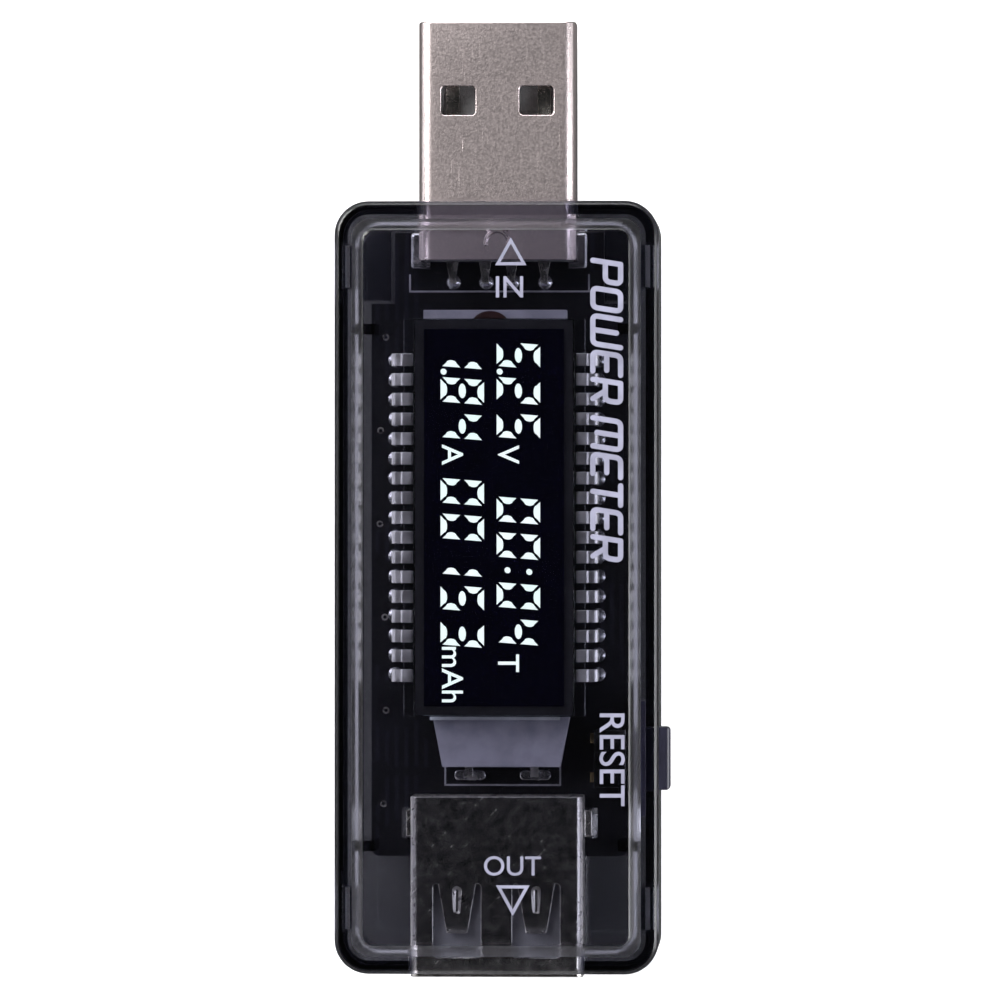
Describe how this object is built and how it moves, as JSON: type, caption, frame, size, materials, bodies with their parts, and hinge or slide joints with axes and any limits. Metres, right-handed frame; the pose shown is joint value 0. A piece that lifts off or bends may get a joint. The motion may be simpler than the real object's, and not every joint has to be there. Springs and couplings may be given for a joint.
{
  "type": "usb power meter",
  "caption": "Pocket inline power meter in a smoke-clear snap case, with a plug, a socket, a segment display and a side reset button.",
  "frame": {"origin": "centre of the case's flat underside", "axes": "+Y out along the plug, +Z out of the display, +X towards the reset button"},
  "size_m": [0.0254, 0.0725, 0.0121],
  "materials": {
    "smoke_plastic": "smoke-clear moulded plastic, polished",
    "button_plastic": "dark moulded plastic",
    "solder_mask": "black solder mask on glass laminate",
    "plug_nickel": "dull warm nickel plate, fine grain",
    "socket_nickel": "bright nickel plate with fine scratches",
    "connector_black": "moulded black insulator",
    "contact_gold": "thin gold plate",
    "solder": "solder, bright and uneven",
    "tinned_pin": "tinned sheet",
    "display_glass": "polished glass",
    "polariser_film": "dark polariser film",
    "seal_resin": "hardened brown resin",
    "backlight_white": "pale moulded plastic",
    "light_guide_clear": "clear acrylic",
    "diffuser_film": "milky film",
    "lamp_white": "lamp package",
    "switch_plastic": "moulded black plastic",
    "switch_steel": "stamped steel",
    "chip_epoxy": "moulded epoxy",
    "capacitor_ceramic": "tan ceramic",
    "resistor_ceramic": "black glazed ceramic",
    "crystal_can": "drawn metal can"
  },
  "bodies": {
    "case": {"bottom_shell": "smoke_plastic", "top_cover": "smoke_plastic", "circuit_board": "solder_mask", "plug_shell": "plug_nickel", "plug_insulator": "connector_black", "plug_contacts": "contact_gold", "plug_solder": "solder", "socket_shell": "socket_nickel", "socket_insulator": "connector_black", "socket_contacts": "contact_gold", "socket_solder": "solder", "display_front_glass": "display_glass", "display_rear_glass": "display_glass", "display_front_polariser": "polariser_film", "display_rear_polariser": "polariser_film", "display_fill_seal": "seal_resin", "display_pins_left": "tinned_pin", "display_pins_right": "tinned_pin", "display_solder_left": "solder", "display_solder_right": "solder", "backlight_housing": "backlight_white", "backlight_light_guide": "light_guide_clear", "backlight_diffuser": "diffuser_film", "backlight_lamps": "lamp_white", "backlight_leads": "tinned_pin", "backlight_solder": "solder", "switch_body": "switch_plastic", "switch_cover": "switch_steel", "switch_dome": "switch_steel", "switch_terminals": "contact_gold", "controller_chip": "chip_epoxy", "controller_leads": "tinned_pin", "memory_chip": "chip_epoxy", "memory_leads": "tinned_pin", "voltage_regulator": "chip_epoxy", "regulator_leads": "tinned_pin", "current_shunt": "resistor_ceramic", "shunt_terminals": "tinned_pin", "chip_capacitors": "capacitor_ceramic", "capacitor_terminals": "tinned_pin", "chip_resistors": "resistor_ceramic", "resistor_terminals": "tinned_pin", "timing_crystal": "crystal_can"},
    "button": {"reset_button": "button_plastic"},
    "plunger": {"switch_plunger": "switch_plastic"}
  },
  "joints": [
    {"name": "reset_press", "type": "slide", "parent": "case", "child": "button", "axis": [-1, 0, 0], "range_m": [0, 0.0003], "stiffness_N_per_m": 500},
    {"name": "plunger_press", "type": "slide", "parent": "case", "child": "plunger", "axis": [-1, 0, 0], "range_m": [0, 0.0003]}
  ],
  "couplings": [
    {"joint": "plunger_press", "follows": "reset_press", "ratio": 1}
  ]
}
